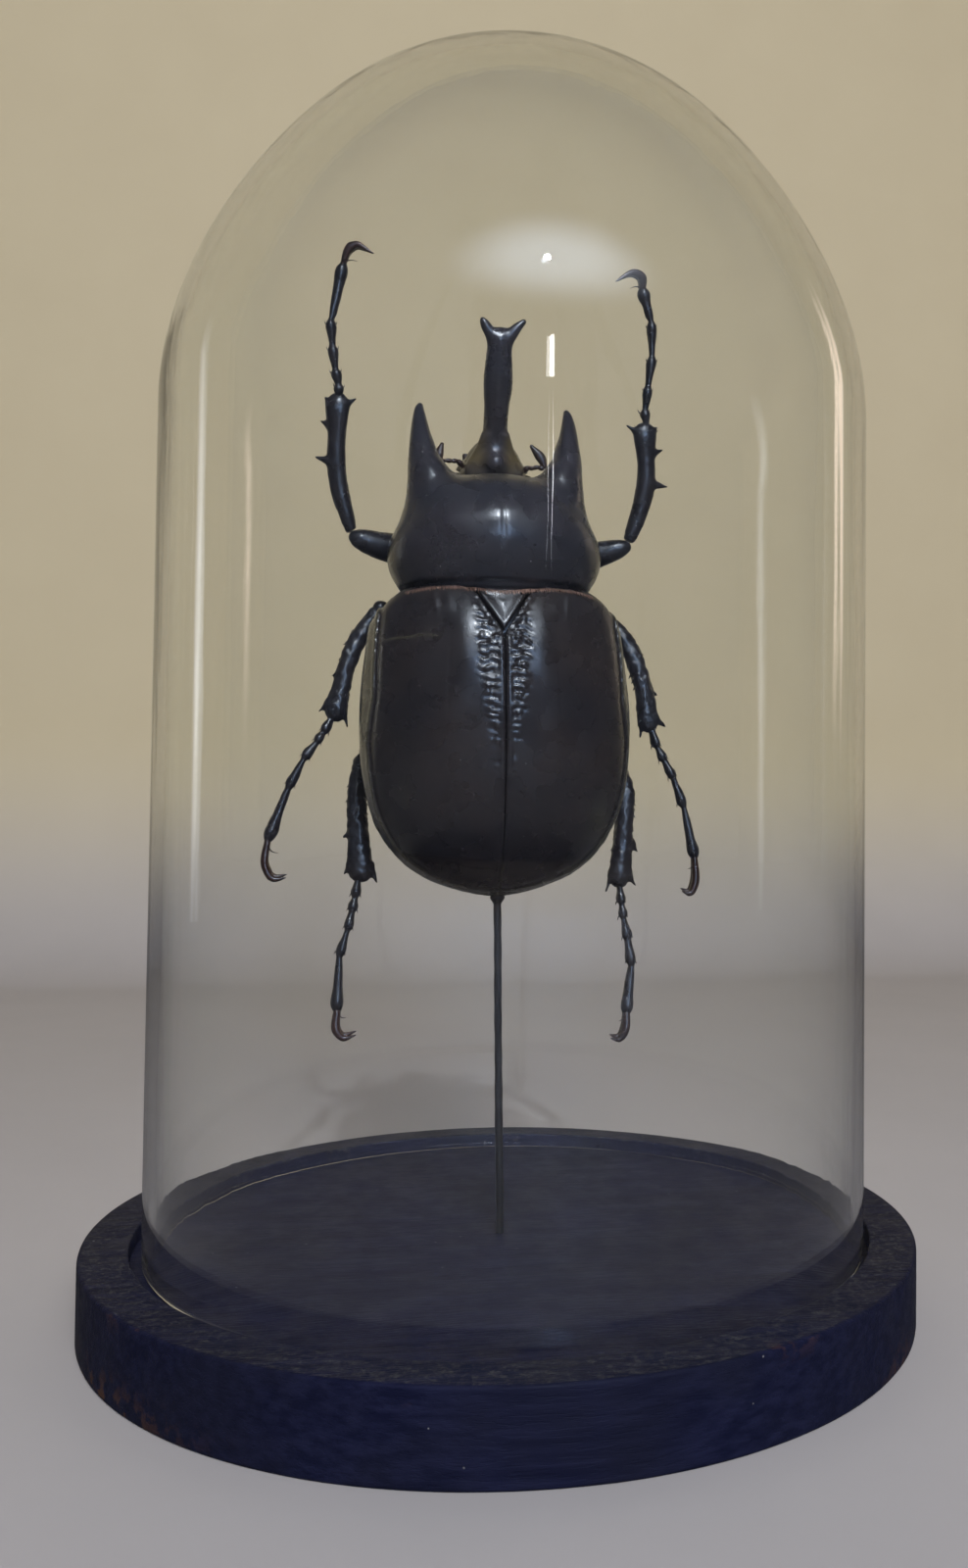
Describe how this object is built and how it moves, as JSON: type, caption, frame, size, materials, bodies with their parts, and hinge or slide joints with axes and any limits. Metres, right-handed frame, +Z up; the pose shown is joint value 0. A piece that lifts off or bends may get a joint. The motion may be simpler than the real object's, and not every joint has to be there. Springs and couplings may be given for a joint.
{
  "type": "horned beetle in a glass dome",
  "caption": "Dried horned beetle standing head up on a thin rod, shut under a clear glass dome with a rounded top, on a round black wooden base.",
  "frame": {"origin": "centre of the underside of the base", "axes": "+Z up the dome's axis, -Y the side that the beetle's back faces, +X the beetle's right side as seen from its back"},
  "size_m": [0.163, 0.163, 0.2509],
  "materials": {
    "black_wood": "satin black paint or stain, faint grain and scuffs",
    "clear_glass": "clear blown glass, polished",
    "dark_rod": "dark, half gloss",
    "pronotum": "glossy near-black horn shell",
    "head": "glossy near-black horn shell, brown towards the horn's foot",
    "eye": "fine faceted, half gloss",
    "antenna": "dark red brown, half gloss",
    "mouth": "dark red brown, half gloss",
    "elytra": "glossy black brown, wrinkled beside the seam",
    "underside": "half gloss black brown",
    "leg": "glossy near-black, pitted",
    "claw": "dark red brown, glossy"
  },
  "bodies": {
    "root": {"base": "black_wood", "glass_dome": "clear_glass", "mounting_pin": "dark_rod", "pronotum": "pronotum", "head": "head", "eye_left": "eye", "eye_right": "eye", "antenna_left": "antenna", "antenna_right": "antenna", "mouthparts": "mouth", "scutellum": "elytra", "elytron_left": "elytra", "elytron_right": "elytra", "thorax_underside": "underside", "abdomen": "underside", "front_left_coxa": "leg", "front_left_femur": "leg", "front_left_tibia": "leg", "front_left_tarsus": "leg", "front_left_claws": "claw", "front_right_coxa": "leg", "front_right_femur": "leg", "front_right_tibia": "leg", "front_right_tarsus": "leg", "front_right_claws": "claw", "middle_left_coxa": "leg", "middle_left_femur": "leg", "middle_left_tibia": "leg", "middle_left_tarsus": "leg", "middle_left_claws": "claw", "middle_right_coxa": "leg", "middle_right_femur": "leg", "middle_right_tibia": "leg", "middle_right_tarsus": "leg", "middle_right_claws": "claw", "hind_left_coxa": "leg", "hind_left_femur": "leg", "hind_left_tibia": "leg", "hind_left_tarsus": "leg", "hind_left_claws": "claw", "hind_right_coxa": "leg", "hind_right_femur": "leg", "hind_right_tibia": "leg", "hind_right_tarsus": "leg", "hind_right_claws": "claw"}
  },
  "joints": []
}
